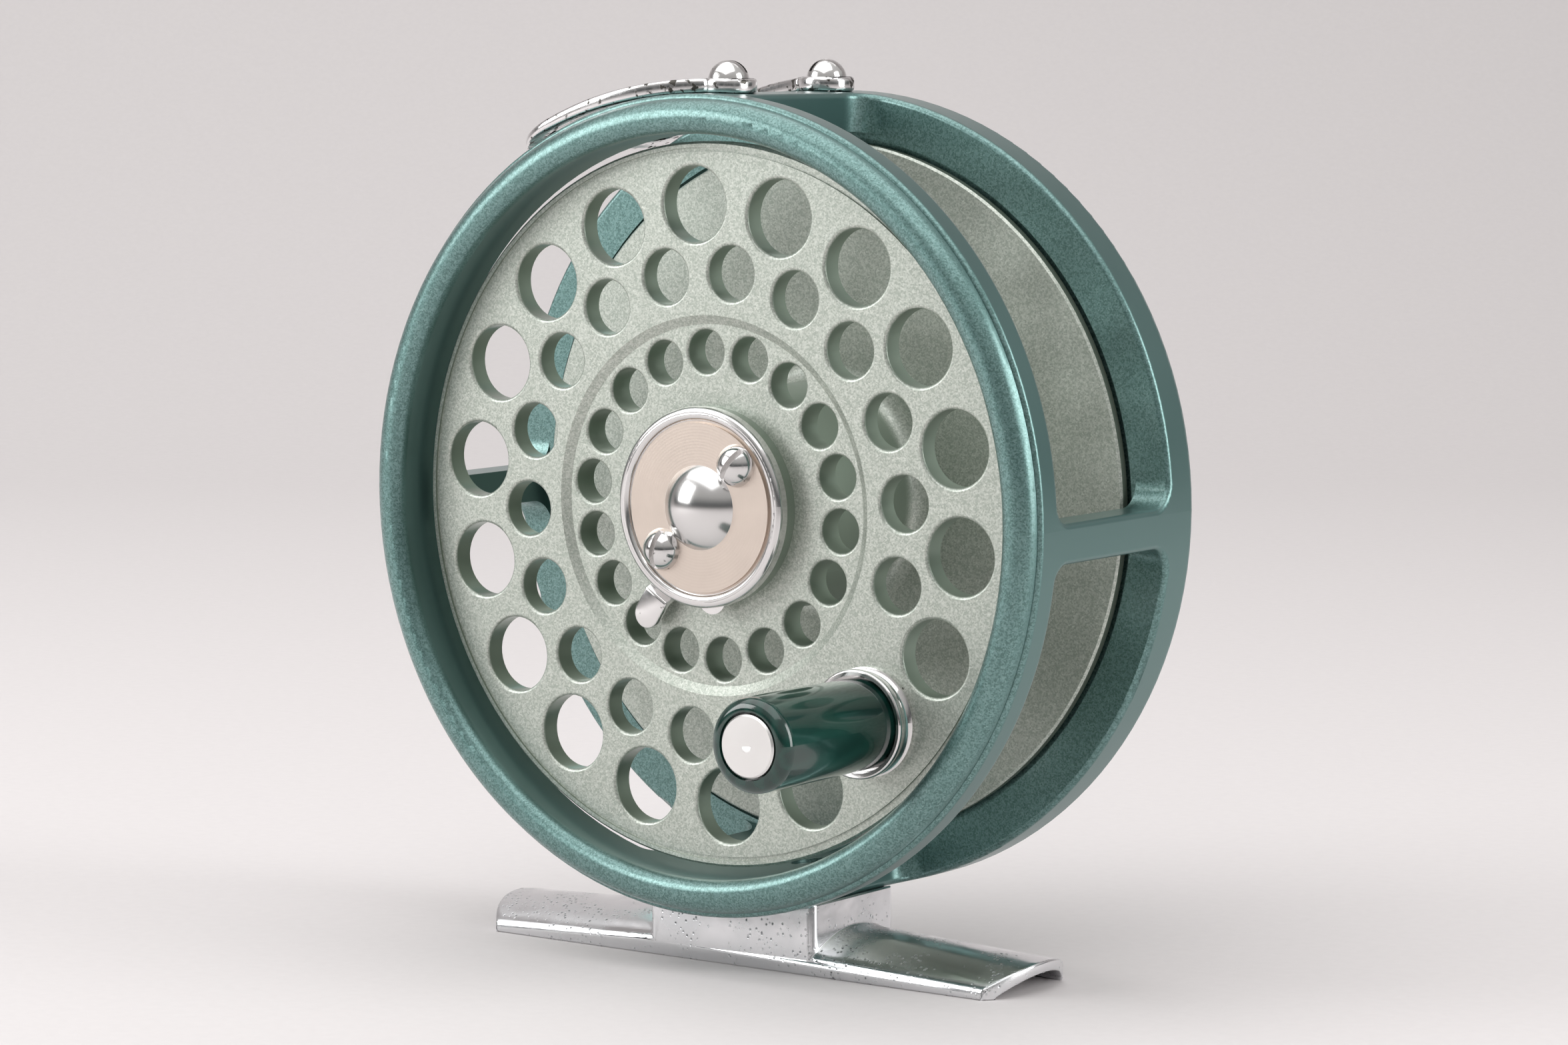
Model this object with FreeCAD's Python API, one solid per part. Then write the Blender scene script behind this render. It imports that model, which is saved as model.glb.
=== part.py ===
import FreeCAD, Part
import math
import os

from FreeCAD import Vector

# Fly reel, in millimetres. It is modelled about the spool's axis, which runs along Y through
# the origin, with y = 0 on the front face of the spool and y growing towards the back of the
# reel. place() then lifts every piece so that the origin is under the middle of the foot,
# on the reel seat, with Z up.

# Driving sizes of the spool
line_width = 19.6            # between the two flanges
front_flange_radius = 39.8
pattern = front_flange_radius / 39.8    # the drilled pattern grows with the flange
back_flange_radius = front_flange_radius - 0.35
front_flange_rim = 1.9       # thickness at the edge of the front flange
front_flange_web = 2.5       # between its rim and its thicker middle
front_flange_hub = 3.8
back_flange_wall = 1.4
drum_radius = 12.5 * pattern
drum_wall = 1.5
dish_radius = 20.4 * pattern    # inner zone of the front flange, set back a little
dish_depth = 0.64
boss_radius = 10.9           # raised seat of the latch
boss_height = 1.6
spool_turn = 3.9             # degrees that the hole pattern is turned from upright
hole_places = 18
hole_rounding = 0.35
outer_holes = (33.0 * pattern, 4.2 * pattern, 0.0)    # ring radius, hole radius, offset in degrees
middle_holes = (25.65 * pattern, 3.05 * pattern, 10.0)
inner_holes = (16.9 * pattern, 2.4 * pattern, 0.0)
rim_groove = (front_flange_radius - 1.1, 0.45, 0.25)    # radius, width, depth of the turned line

# Driving sizes of the frame
ring_gap = 0.9               # between the front flange and the front ring
ring_wall = 4.3              # radial thickness of the rings and pillars
bead_height = 4.9            # how far the front ring stands in front of the spool
bead_step = 0.08             # fine step between the rounded bead and the flat band
ring_rear = 0.1              # rear edge of the front ring, at its outside
ring_lip = 1.6               # how much further back that edge reaches at its inside
back_gap = 0.6               # around the back flange
rim_front = 1.0              # front of the back rim, behind the front of the back flange
rim_width = 5.1
plate_wall = 2.2
housing_radius = 25.0        # raised click housing in the middle of the back
housing_height = 3.6
housing_wall = 2.4
floor_gap = 0.5              # behind the back flange
side_pillar_width = 4.4
side_pillar_drop = 2.0       # degrees that the side pillars sit below the axis
top_pillar_width = 8.4
bottom_pillar_width = 21.0
window_front_corner = 2.0
window_rear_corner = 3.0
window_rounding = 0.6        # of the edges of the windows, outside

# Driving sizes of the foot
foot_drop = 6.5              # reel seat below the frame
foot_width = 15.7
foot_length = 73.4
foot_centre = 11.3           # behind the spool's front face
foot_block_length = 22.6
foot_crest = (4.6, 3.5)      # height of the arched wing at the block and at its end
foot_edge = (2.1, 1.0)       # height of its upright edge there
foot_ease = 0.5              # rounding between its arch and its upright edge
foot_wall = 1.3
foot_end_sagitta = 3.2
foot_screw_pitch = 12.0

# Driving sizes of the line guard
guard_bend = 8.0             # radius of its underside over that of the frame
guard_crown = 4.5            # radius of its top over that of the frame, so that it thins
guard_thickness = 1.6        # at its screws
guard_bar = 2.3
guard_reach = 26.4           # from its screws to its far end
guard_bow = 2.7              # how far it stands in front of the ring's rear edge
eyelet_radius = 3.1
eyelet_front = 3.4
eyelet_rear = 21.8

# Driving sizes of the turning parts
spindle_radius = 2.5
spindle_neck = 1.9
spindle_head = 2.1
bush_radius = 4.0
running_fit = 0.05
side_gap = 0.15
ratchet_teeth = 36
ratchet_radius = 9.0
ratchet_depth = 0.9
ratchet_width = 1.5
pawl_arm = 9.0               # from the pawl's stud to its tip
pawl_width = 1.0
pawl_lift = 8.0              # degrees
check_spring_length = 3.6
regulator_offset = 18.8      # centre of the knob above the spindle
knob_radius = 4.6
knob_height = 3.4

# Driving sizes of the latch
cap_radius = 11.05
cap_height = 1.4
cap_sink = 0.15              # its face below the crest of its rim
cap_groove = (9.3, 0.35, 0.35)       # inner radius, width and depth of the line round its face
dome_radius = 4.65
dome_height = 2.2
cover_screw_ring = 7.0
cover_screw_turn = 40.1      # degrees, before the spool is turned
latch_turn = -126.4          # direction of the finger tab, before the spool is turned
latch_plate = 0.9
latch_reach = 16.2
latch_bend = 0.65            # how far its tab is bent to the front, outside the cap
lug_turn = -86.0             # direction of the cap's thumb lug, before the spool is turned
latch_tab_width = 3.3
latch_swing = 8.0            # degrees
pocket_radius = 9.3
post_radius = 1.2

# Driving sizes of the handle
handle_ring = 30.5 * pattern
handle_place = 7             # which hole place it takes
handle_length = 22.0
handle_radius = 5.1
handle_base_radius = 4.95
cup_radius = 5.95
cup_height = 2.7
pin_radius = 1.9
pin_disc_radius = 3.37

# Places that follow from them
back_flange_front = front_flange_rim + line_width
back_flange_rear = back_flange_front + back_flange_wall
ring_inner = front_flange_radius + ring_gap
frame_radius = ring_inner + ring_wall
recess_radius = back_flange_radius + back_gap
rim_face = back_flange_front + rim_front
frame_rear = rim_face + rim_width
recess_floor = back_flange_rear + floor_gap
plate_rear = recess_floor + plate_wall
housing_rear = plate_rear + housing_height
housing_floor = housing_rear - housing_wall
housing_inner = housing_radius - housing_wall
axis_height = frame_radius + foot_drop
boss_front = dish_depth - boss_height
cap_front = boss_front - cap_height
cap_floor = cap_front + cap_sink
pocket_floor = boss_front + latch_plate + 2 * side_gap
spindle_flange_front = housing_floor - 1.6
bush_front = pocket_floor + side_gap
bush_rear = spindle_flange_front - side_gap
hub_radius = ratchet_radius - 0.4
regulator_x = 0.0

ORIGIN = Vector(0, 0, 0)
AXIS = Vector(0, 1, 0)
UP = Vector(0, 0, 1)
PARTS = "parts"
os.makedirs(PARTS, exist_ok=True)


# Small helpers

def place(shape):
    """Move a shape from the spool's axis to the reel seat."""
    moved = shape.copy()
    moved.translate(Vector(0, -foot_centre, axis_height))
    return moved


def save(name, made):
    """Write one sub-part, which may be a list of separate solids."""
    if isinstance(made, list):
        shape = Part.makeCompound([place(solid) for solid in made])
    else:
        shape = place(made)
    shape.exportStep(os.path.join(PARTS, name + ".step"))


def polar(radius, degrees):
    """A point of the XZ plane, with the angle counted from +X towards +Z."""
    angle = math.radians(degrees)
    return radius * math.cos(angle), radius * math.sin(angle)


def rod(x, z, y0, y1, radius):
    """A round bar along Y."""
    return Part.makeCylinder(radius, y1 - y0, Vector(x, y0, z), AXIS)


def bar_up(x, y, z0, z1, radius):
    """A round bar along Z."""
    return Part.makeCylinder(radius, z1 - z0, Vector(x, y, z0), UP)


def block(x0, x1, y0, y1, z0, z1):
    """A box between two corners."""
    return Part.makeBox(x1 - x0, y1 - y0, z1 - z0, Vector(x0, y0, z0))


def outline(steps, lift):
    """A closed wire. A step of two numbers is a line, one of four an arc through a point."""
    edges = []
    here = lift(*steps[0])
    first = here
    for step in steps[1:]:
        there = lift(*step[-2:])
        if len(step) == 4:
            edges.append(Part.Arc(here, lift(*step[:2]), there).toShape())
        else:
            edges.append(Part.LineSegment(here, there).toShape())
        here = there
    edges.append(Part.LineSegment(here, first).toShape())
    return Part.Wire(edges)


def turned(steps, degrees=360):
    """A solid turned about the spool's axis from an outline of (radius, y) steps."""
    wire = outline(steps, lambda radius, y: Vector(radius, y, 0))
    return Part.Face(wire).revolve(ORIGIN, AXIS, degrees)


def plate(steps, y0, y1):
    """A flat piece cut from an outline of (x, z) steps, between two places on Y."""
    wire = outline(steps, lambda x, z: Vector(x, y0, z))
    return Part.Face(wire).extrude(Vector(0, y1 - y0, 0))


def spin(shape, degrees):
    """Turn a shape about the spool's axis, from +X towards +Z."""
    return shape.copy().rotate(ORIGIN, AXIS, -degrees)


def ring_edges(shape, radius, y):
    """The round edges of one radius on one level."""
    found = []
    for edge in shape.Edges:
        curve = edge.Curve
        if not isinstance(curve, Part.Circle) or abs(curve.Radius - radius) > 0.001:
            continue
        if abs(edge.BoundBox.YMin - y) < 0.001 and abs(edge.BoundBox.YMax - y) < 0.001:
            found.append(edge)
    return found


def coil(x, y, z0, z1, radius, wire_radius, turns):
    """A coil spring that stands along Z, between two levels."""
    rise = z1 - z0 - 2 * wire_radius
    path = Part.makeHelix(rise / turns, rise, radius)
    ring = Part.Wire(Part.makeCircle(wire_radius, Vector(radius, 0, 0), AXIS))
    spring = Part.Wire(path).makePipeShell([ring], True, True)
    spring.translate(Vector(x, y, z0 + wire_radius))
    return spring


def domed_screw(head_radius, head_height, shank_radius, shank_length, slot_turn):
    """A slotted screw with a domed head. Its head sits on z = 0 and its shank hangs below."""
    bulge = (head_radius ** 2 + head_height ** 2) / (2 * head_height)
    dome = Part.makeSphere(bulge, Vector(0, 0, head_height - bulge))
    head = bar_up(0, 0, 0, head_height, head_radius).common(dome)
    slot_width = head_radius * 0.28
    slot = block(-head_radius, head_radius, -slot_width / 2, slot_width / 2, head_height * 0.3, head_height)
    head = head.cut(slot.rotate(ORIGIN, UP, slot_turn))
    return head.fuse(bar_up(0, 0, -shank_length, 0, shank_radius))


def facing_front(shape, x, y, z):
    """Lay a screw that was made upright so that its head looks to the front."""
    laid = shape.copy().rotate(ORIGIN, Vector(1, 0, 0), 90)
    laid.translate(Vector(x, y, z))
    return laid


# The frame

def cage_blank():
    """The turned shape of the cage: rounded front bead, wall, back rim, plate and housing."""
    band = frame_radius
    bead = -bead_height
    shoulder = band - 0.5
    step = bead + 1.75
    rim_lip = frame_radius - 5.5
    steps = [
        (0, housing_floor),
        (housing_inner - 1.0, housing_floor),
        (housing_inner - 0.3, housing_floor - 0.3, housing_inner, housing_floor - 1.0),
        (housing_inner, recess_floor),
        (recess_radius, recess_floor),
        (recess_radius, rim_face),
        (ring_inner, rim_face),
        (ring_inner, bead + 1.5),
        (ring_inner + 0.42, bead + 0.42, ring_inner + 1.45, bead),
        (ring_inner + 2.95, bead + 0.35, shoulder, step),
        (shoulder, step + bead_step),
        (band - 0.15, step + bead_step + 0.15, band, step + bead_step + 0.5),
        (band, frame_rear - 1.0),
        (band - 0.3, frame_rear - 0.3, band - 1.0, frame_rear),
        (rim_lip, frame_rear),
        (rim_lip - 1.2, plate_rear),
        (housing_radius + 1.0, plate_rear),
        (housing_radius + 0.3, plate_rear + 0.3, housing_radius, plate_rear + 1.0),
        (housing_radius, housing_rear - 1.2),
        (housing_radius - 0.35, housing_rear - 0.35, housing_radius - 1.2, housing_rear),
        (0, housing_rear),
    ]
    return turned(steps)


def window(start, end):
    """The tool that opens the wall between two pillars, with rounded corners."""
    low = ring_inner - 1
    high = frame_radius + 1
    slope = ring_lip / ring_wall
    low_front = ring_rear + ring_lip + slope
    high_front = ring_rear - slope
    steps = [(low, low_front), (low, rim_face), (high, rim_face), (high, high_front)]
    tool = spin(turned(steps, end - start), end)
    corners = ((high_front, low_front, window_front_corner), (rim_face, rim_face, window_rear_corner))
    for front, rear, radius in corners:
        edges = []
        for edge in tool.Edges:
            box = edge.BoundBox
            across = box.YMin > front - 0.01 and box.YMax < rear + 0.01
            if isinstance(edge.Curve, Part.Line) and across:
                edges.append(edge)
        tool = tool.makeFillet(radius, edges)
    return tool


def window_edges(cage):
    """The edges of the windows on the outer skin of the cage."""
    found = []
    for edge in cage.Edges:
        box = edge.BoundBox
        if box.YMin < ring_rear - 1 or box.YMax > rim_face + 0.1:
            continue
        middle = edge.valueAt((edge.FirstParameter + edge.LastParameter) / 2)
        if abs(math.hypot(middle.x, middle.z) - frame_radius) < 0.01:
            found.append(edge)
    return found


def pillar_spans():
    """The two edges of each pillar, in degrees: right, top, left and bottom."""
    spans = []
    pillars = (
        (-side_pillar_drop, side_pillar_width),
        (90, top_pillar_width),
        (180 + side_pillar_drop, side_pillar_width),
        (270, bottom_pillar_width),
    )
    for middle, width in pillars:
        half = math.degrees(math.asin(width / 2 / frame_radius))
        spans.append((middle - half, middle + half))
    return spans


def frame_cage():
    """One casting: front ring, four pillars and back."""
    pillars = pillar_spans()
    windows = []
    for here, after in zip(pillars, pillars[1:] + pillars[:1]):
        start = here[1]
        end = after[0] + (360 if after[0] < start else 0)
        windows.append(window(start, end))
    cage = cage_blank().cut(windows)
    cage = cage.makeFillet(window_rounding, window_edges(cage))
    cage = cage.cut(rod(0, 0, housing_floor - 1, housing_rear + 1, spindle_radius))
    cage = cage.cut(rod(*pawl_pivot(), housing_floor - 1, housing_floor + 1.4, 1.0))
    cage = cage.cut(rod(regulator_x, regulator_offset, housing_floor - 1, housing_rear + 1, 1.6))
    for x, z in seat_screw_places():
        cage = cage.cut(rod(x, z, housing_floor - 1, housing_floor + 1.5, 0.7))
    for y in (eyelet_front, eyelet_rear):
        cage = cage.cut(bar_up(0, y, frame_radius - 2.9, frame_radius + 1, 1.1))
    for x in (-foot_screw_pitch / 2, foot_screw_pitch / 2):
        cage = cage.cut(bar_up(x, foot_centre, -frame_radius - 1, -ring_inner + 5, 1.3))
        cage = cage.cut(foot_screw_head(x, 0.1))
    return cage


# The foot and its screws

def foot_screw_head(x, extra):
    """A countersunk head let into the inside of the bottom pillar."""
    top = -ring_inner - 0.5
    cone = Part.makeCone(1.3, 2.6 + extra, 1.5, Vector(x, foot_centre, top - 1.5), UP)
    return cone.fuse(bar_up(x, foot_centre, top, top + (5 if extra else 0.3), 2.6 + extra))


def foot_screws():
    """Two countersunk screws, put in from inside the frame."""
    screws = []
    for x in (-foot_screw_pitch / 2, foot_screw_pitch / 2):
        head = foot_screw_head(x, 0)
        shank = bar_up(x, foot_centre, -axis_height + 1.5, -ring_inner - 1.9, 1.3)
        slot = block(x - 0.35, x + 0.35, foot_centre - 3, foot_centre + 3, -ring_inner - 0.9, -ring_inner)
        screws.append(head.fuse(shank).cut(slot))
    return screws


def wing_section(x, crest, edge, solid):
    """The outline of an arched wing across the foot, or of the hollow below it."""
    half = foot_width / 2
    if solid:
        ease = foot_ease
        arch = (half ** 2 + (crest - edge) ** 2) / (2 * (crest - edge))
        high = crest - arch + math.sqrt(arch ** 2 - (half - ease) ** 2)
        mid_high = (high + edge - ease) / 2 + ease * 0.12
        steps = [
            (-half, 0),
            (-half, edge - ease),
            (-half + ease * 0.29, mid_high, -half + ease, high),
            (0, crest, half - ease, high),
            (half - ease * 0.29, mid_high, half, edge - ease),
            (half, 0),
        ]
    else:
        half = half - foot_wall
        steps = [(-half, -1), (-half, edge - 0.9), (0, crest - foot_wall, half, edge - 0.9), (half, -1)]
    return outline(steps, lambda y, z: Vector(x, foot_centre + y, z - axis_height))


def foot():
    """A cast foot: a block under the frame and two arched, hollow wings with curved ends."""
    inner = foot_block_length / 2 - 2
    tip = foot_length / 2
    half = foot_width / 2
    near, far = zip(foot_crest, foot_edge)
    solid = [wing_section(inner, *near, True), wing_section(tip, *far, True)]
    hollow = [wing_section(inner + 3, *near, False), wing_section(tip + 1, *far, False)]
    wing = Part.makeLoft(solid, True, True).cut(Part.makeLoft(hollow, True, True))
    shoulder = tip - foot_end_sagitta
    plan = [(0, -half), (shoulder, -half), (tip, 0, shoulder, half), (0, half)]
    wire = outline(plan, lambda x, y: Vector(x, foot_centre + y, -axis_height))
    wing = wing.common(Part.Face(wire).extrude(Vector(0, 0, 20)))
    other = wing.mirror(ORIGIN, Vector(1, 0, 0))
    side = foot_block_length / 2
    body = block(-side, side, foot_centre - half, foot_centre + half, -axis_height, -frame_radius + 4)
    upright = []
    for edge in body.Edges:
        if edge.BoundBox.ZLength > 1:
            upright.append(edge)
    body = body.makeFillet(0.9, upright)
    body = body.cut(rod(0, 0, -10, frame_rear + 10, frame_radius))
    whole = body.fuse([wing, other]).removeSplitter()
    for x in (-foot_screw_pitch / 2, foot_screw_pitch / 2):
        whole = whole.cut(bar_up(x, foot_centre, -axis_height + 1.5, 0, 1.3))
    return whole


# The line guard and its screws

def guard_outline(inset):
    """The loop seen from above, as (x, y) steps, drawn in from the outside by inset."""
    reach = -guard_reach + inset
    front = ring_rear - guard_bow + inset
    rear = eyelet_front + eyelet_rear - front
    middle = (eyelet_front + eyelet_rear) / 2
    corner = 5.5 - inset
    neck = eyelet_front - eyelet_radius + 0.6 + inset
    far_neck = eyelet_front + eyelet_rear - neck
    cut = corner * (1 - math.sqrt(0.5))
    start = -inset * 1.6
    return [
        (start, neck),
        (start - 8, front + 0.9, -18, front),
        (reach + corner, front),
        (reach + cut, front + cut, reach, front + corner),
        (reach, middle),
        (reach, rear - corner),
        (reach + cut, rear - cut, reach + corner, rear),
        (-18, rear),
        (start - 8, rear - 0.9, start, far_neck),
    ]


def guard_sheet(steps):
    """An upright prism over the frame, from an outline of (x, y) steps."""
    wire = outline(steps, lambda x, y: Vector(x, y, frame_radius - 25))
    return Part.Face(wire).extrude(Vector(0, 0, 40))


def line_guard():
    """A closed, bent loop with two eyelets; the line runs through it."""
    length = eyelet_rear + 40
    outside = rod(0, guard_thickness - guard_crown, -20, length, frame_radius + guard_crown)
    inside = rod(0, -guard_bend, -20, length, frame_radius + guard_bend)
    bent = outside.cut(inside)
    loop = guard_sheet(guard_outline(0)).cut(guard_sheet(guard_outline(guard_bar)))
    gap = block(-4, 1, eyelet_front + 1.2, eyelet_rear - 1.2, 0, frame_radius + 10)
    loop = loop.cut(gap)
    for y in (eyelet_front, eyelet_rear):
        loop = loop.fuse(bar_up(0, y, frame_radius - 25, frame_radius + 15, eyelet_radius))
    guard = bent.common(loop).removeSplitter()
    for y in (eyelet_front, eyelet_rear):
        guard = guard.cut(bar_up(0, y, frame_radius - 5, frame_radius + 5, 1.1 + running_fit))
    return guard


def guard_screws():
    """Two domed slotted screws."""
    screws = []
    for y, turn in ((eyelet_front, 20), (eyelet_rear, 62)):
        screw = domed_screw(2.25, 1.95, 1.1, guard_thickness + 2.6, turn)
        screw.translate(Vector(0, y, frame_radius + guard_thickness))
        screws.append(screw)
    return screws


# The spindle, its bush and the spool

def spindle():
    """A fixed steel spindle with a flange, a neck for the latch and a threaded tail."""
    nose = boss_front - 0.45
    steps = [
        (0, nose),
        (spindle_head - 0.4, nose),
        (spindle_head, nose + 0.4),
        (spindle_head, boss_front + 0.05),
        (spindle_neck, boss_front + 0.05),
        (spindle_neck, pocket_floor),
        (spindle_radius, pocket_floor + 0.3),
        (spindle_radius, spindle_flange_front),
        (6.0, spindle_flange_front),
        (6.0, housing_floor),
        (spindle_radius, housing_floor),
        (spindle_radius, housing_rear + 2.6),
        (spindle_radius - 0.4, housing_rear + 3.0),
        (0, housing_rear + 3.0),
    ]
    return turned(steps)


def spindle_nut():
    """A round nut with two flats for a spanner."""
    nut = rod(0, 0, housing_rear, housing_rear + 2.4, 5.6)
    nut = nut.makeFillet(0.5, ring_edges(nut, 5.6, housing_rear + 2.4))
    nut = nut.common(block(-4.8, 4.8, housing_rear, housing_rear + 2.4, -6, 6))
    return nut.cut(rod(0, 0, housing_rear - 1, housing_rear + 4, spindle_radius))


def hub_bush():
    """The floating bronze bush that the spool runs on."""
    bush = rod(0, 0, bush_front, bush_rear, bush_radius)
    return bush.cut(rod(0, 0, bush_front - 1, bush_rear + 1, spindle_radius + running_fit))


def hole_angle(rule, number):
    """Direction of one place of a ring of holes, counted clockwise from the top."""
    return 90 + rule[2] - number * 360 / hole_places


def hole_sets():
    """Every hole of the front flange as (x, z, hole radius)."""
    holes = []
    missing = {outer_holes: (handle_place,), middle_holes: (handle_place, handle_place + 1), inner_holes: ()}
    for rule, absent in missing.items():
        ring, radius, offset = rule
        for number in range(hole_places):
            if number not in absent:
                holes.append((*polar(ring, hole_angle(rule, number)), radius))
    return holes


def handle_spot():
    """Centre of the handle on the front flange."""
    return polar(handle_ring, hole_angle(outer_holes, handle_place))


def cover_spots():
    """Centres of the two posts that hold the latch cover; the first is the latch's pivot."""
    return polar(cover_screw_ring, cover_screw_turn), polar(cover_screw_ring, cover_screw_turn + 180)


def spool_blank():
    """The turned shape of the spool before it is drilled, its seam where holes are missing."""
    bore = bush_radius + running_fit
    edge = front_flange_radius
    groove, groove_width, groove_depth = rim_groove
    back = back_flange_radius
    fillet = 2.0
    fillet_far = drum_radius + fillet
    bend = fillet * (1 - math.sqrt(0.5))
    thick = front_flange_hub
    thick_end = dish_radius + 0.6
    steps = [
        (bore, pocket_floor),
        (pocket_radius, pocket_floor),
        (pocket_radius, boss_front),
        (boss_radius, boss_front),
        (boss_radius, dish_depth),
        (dish_radius - 0.5, dish_depth),
        (dish_radius + 0.5, 0),
        (groove, 0),
        (groove, groove_depth),
        (groove + groove_width, groove_depth),
        (groove + groove_width, 0),
        (edge - 0.25, 0),
        (edge, 0.25),
        (edge, front_flange_rim - 0.25),
        (edge - 0.25, front_flange_rim),
        (edge - 1.2, front_flange_rim),
        (edge - 1.8, front_flange_web),
        (thick_end + 1.0, front_flange_web),
        (thick_end, thick),
        (fillet_far, thick),
        (drum_radius + bend, thick + bend, drum_radius, thick + fillet),
        (drum_radius, back_flange_front - fillet),
        (drum_radius + bend, back_flange_front - bend, fillet_far, back_flange_front),
        (back - 0.25, back_flange_front),
        (back, back_flange_front + 0.25),
        (back, back_flange_rear - 0.25),
        (back - 0.25, back_flange_rear),
        (drum_radius - drum_wall, back_flange_rear),
        (drum_radius - drum_wall, thick + 1.5),
        (hub_radius, thick + 1.5),
        (hub_radius, back_flange_rear),
        (bore, back_flange_rear),
    ]
    return spin(turned(steps), hole_angle(middle_holes, handle_place))


def latch_gate():
    """The slot in the boss's wall that the finger tab swings in."""
    travel = math.radians(latch_swing) * (cover_screw_ring + boss_radius)
    left = -latch_tab_width / 2 - 0.3
    right = latch_tab_width / 2 + travel + 0.4
    slot = block(pocket_radius - 1.5, boss_radius + 1, boss_front - 1, pocket_floor, left, right)
    return spin(slot, latch_turn)


def spool():
    """One machined piece: perforated front flange, drum, solid back flange and latch seat."""
    body = spool_blank().cut(latch_gate())
    tools = []
    for x, z, radius in hole_sets():
        tools.append(rod(x, z, -1, front_flange_rim + 4, radius))
    body = body.cut(tools)
    edges = []
    for ring, radius, offset in (outer_holes, middle_holes, inner_holes):
        level = dish_depth if ring < dish_radius else 0.0
        edges.extend(ring_edges(body, radius, level))
    body = body.makeFillet(hole_rounding, edges)
    for x, z in cover_spots():
        post = rod(x, z, boss_front, pocket_floor, post_radius)
        body = body.fuse(post).cut(rod(x, z, boss_front - 1, boss_front + 2.4, 0.8))
    x, z = handle_spot()
    body = body.cut(rod(x, z, -1, front_flange_rim + 4, pin_radius))
    body = spin(body, spool_turn)
    for x, z in ratchet_screw_spots():
        body = body.cut(rod(x, z, back_flange_rear - 4, back_flange_rear + 1, 0.8))
    return body


# The click: ratchet, pawl, spring and its adjuster

def ratchet_screw_spots():
    """Centres of the three screws that hold the ratchet."""
    middle = (bush_radius + hub_radius) / 2
    return [polar(middle, 90 + turn) for turn in (0, 120, 240)]


def ratchet_wheel():
    """A click wheel with even, pointed teeth, so that it clicks both ways."""
    corners = []
    for tooth in range(ratchet_teeth):
        angle = 90 + tooth * 360 / ratchet_teeth
        half = 180 / ratchet_teeth
        corners.append(polar(ratchet_radius - ratchet_depth, angle))
        corners.append(polar(ratchet_radius, angle + half * 0.82))
        corners.append(polar(ratchet_radius, angle + half * 1.18))
    wheel = plate(corners, back_flange_rear, back_flange_rear + ratchet_width)
    wheel = wheel.cut(rod(0, 0, back_flange_rear - 1, back_flange_rear + 5, bush_radius + 0.3))
    for x, z in ratchet_screw_spots():
        rear = back_flange_rear + ratchet_width
        wheel = wheel.cut(rod(x, z, back_flange_rear - 1, rear, 0.8))
        wheel = wheel.cut(Part.makeCone(0.8, 1.6, 0.8, Vector(x, rear - 0.8, z), AXIS))
    return wheel


def ratchet_screws():
    """Three small countersunk screws."""
    screws = []
    rear = back_flange_rear + ratchet_width
    for x, z in ratchet_screw_spots():
        screw = rod(x, z, back_flange_rear - 3.5, rear - 0.8, 0.8)
        screw = screw.fuse(Part.makeCone(0.8, 1.6, 0.8, Vector(x, rear - 0.8, z), AXIS))
        screws.append(screw.cut(block(x - 1.7, x + 1.7, rear - 0.4, rear, z - 0.2, z + 0.2)))
    return screws


def pawl_pivot():
    """Centre of the stud that the pawl turns on."""
    return pawl_arm, ratchet_radius + 1.6


pawl_front = back_flange_rear + 0.65
pawl_rear = pawl_front + pawl_width
arm_top = ratchet_radius + 2.6
seat_bottom = arm_top + check_spring_length


def click_pawl():
    """A lever whose pointed tip drops between the teeth and lifts out of them."""
    pivot_x, pivot_z = pawl_pivot()
    tip = ratchet_radius - ratchet_depth + 0.15
    arm = ratchet_radius + 0.6
    steps = [
        (0, tip),
        (0.95, arm - 0.05),
        (2.0, arm),
        (pivot_x, pivot_z - 1.6),
        (pivot_x + 1.9, pivot_z, pivot_x, pivot_z + 1.9),
        (2.4, arm_top),
        (-2.0, arm_top),
        (-2.0, arm),
        (-0.95, arm - 0.05),
    ]
    pawl = plate(steps, pawl_front, pawl_rear)
    return pawl.cut(rod(pivot_x, pivot_z, pawl_front - 1, pawl_rear + 1, 1.0 + running_fit))


def pawl_stud():
    """A shouldered stud, pressed into the back, that carries the pawl."""
    pivot_x, pivot_z = pawl_pivot()
    head = rod(pivot_x, pivot_z, pawl_front - 0.4, pawl_front - side_gap, 1.7)
    shank = rod(pivot_x, pivot_z, pawl_front - side_gap, housing_floor + 1.4, 1.0)
    collar = rod(pivot_x, pivot_z, pawl_rear + side_gap, housing_floor, 1.9)
    return head.fuse([shank, collar])


def seat_screw_places():
    """Centres of the two screws of the spring's seat."""
    return [(-4.6, seat_bottom + 0.9), (4.6, seat_bottom + 0.9)]


def spring_seat():
    """A bent strip, screwed to the back, that the click spring pushes against."""
    low = seat_bottom
    shelf = block(-2.2, 2.2, pawl_front - 0.3, housing_floor, low, low + 0.7)
    strip = block(-6.2, 6.2, housing_floor - 0.7, housing_floor, low, low + 0.7)
    seat = shelf.fuse(strip)
    for x in (-4.6, 4.6):
        seat = seat.fuse(block(x - 1.6, x + 1.6, housing_floor - 0.7, housing_floor, low - 0.4, low + 2.2))
    for x, z in seat_screw_places():
        seat = seat.cut(rod(x, z, housing_floor - 2, housing_floor + 1, 0.7))
    return seat


def seat_screws():
    """Two small cheese-head screws."""
    screws = []
    for x, z in seat_screw_places():
        front = housing_floor - 0.7
        screw = rod(x, z, front - 0.9, front, 1.3).fuse(rod(x, z, front, housing_floor + 1.5, 0.7))
        screws.append(screw.cut(block(x - 1.4, x + 1.4, front - 0.9, front - 0.5, z - 0.2, z + 0.2)))
    return screws


def check_spring():
    """The click spring, standing between the pawl and its seat."""
    return coil(0, (pawl_front + pawl_rear) / 2 + 0.2, arm_top, seat_bottom, 0.62, 0.13, 6)


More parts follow.
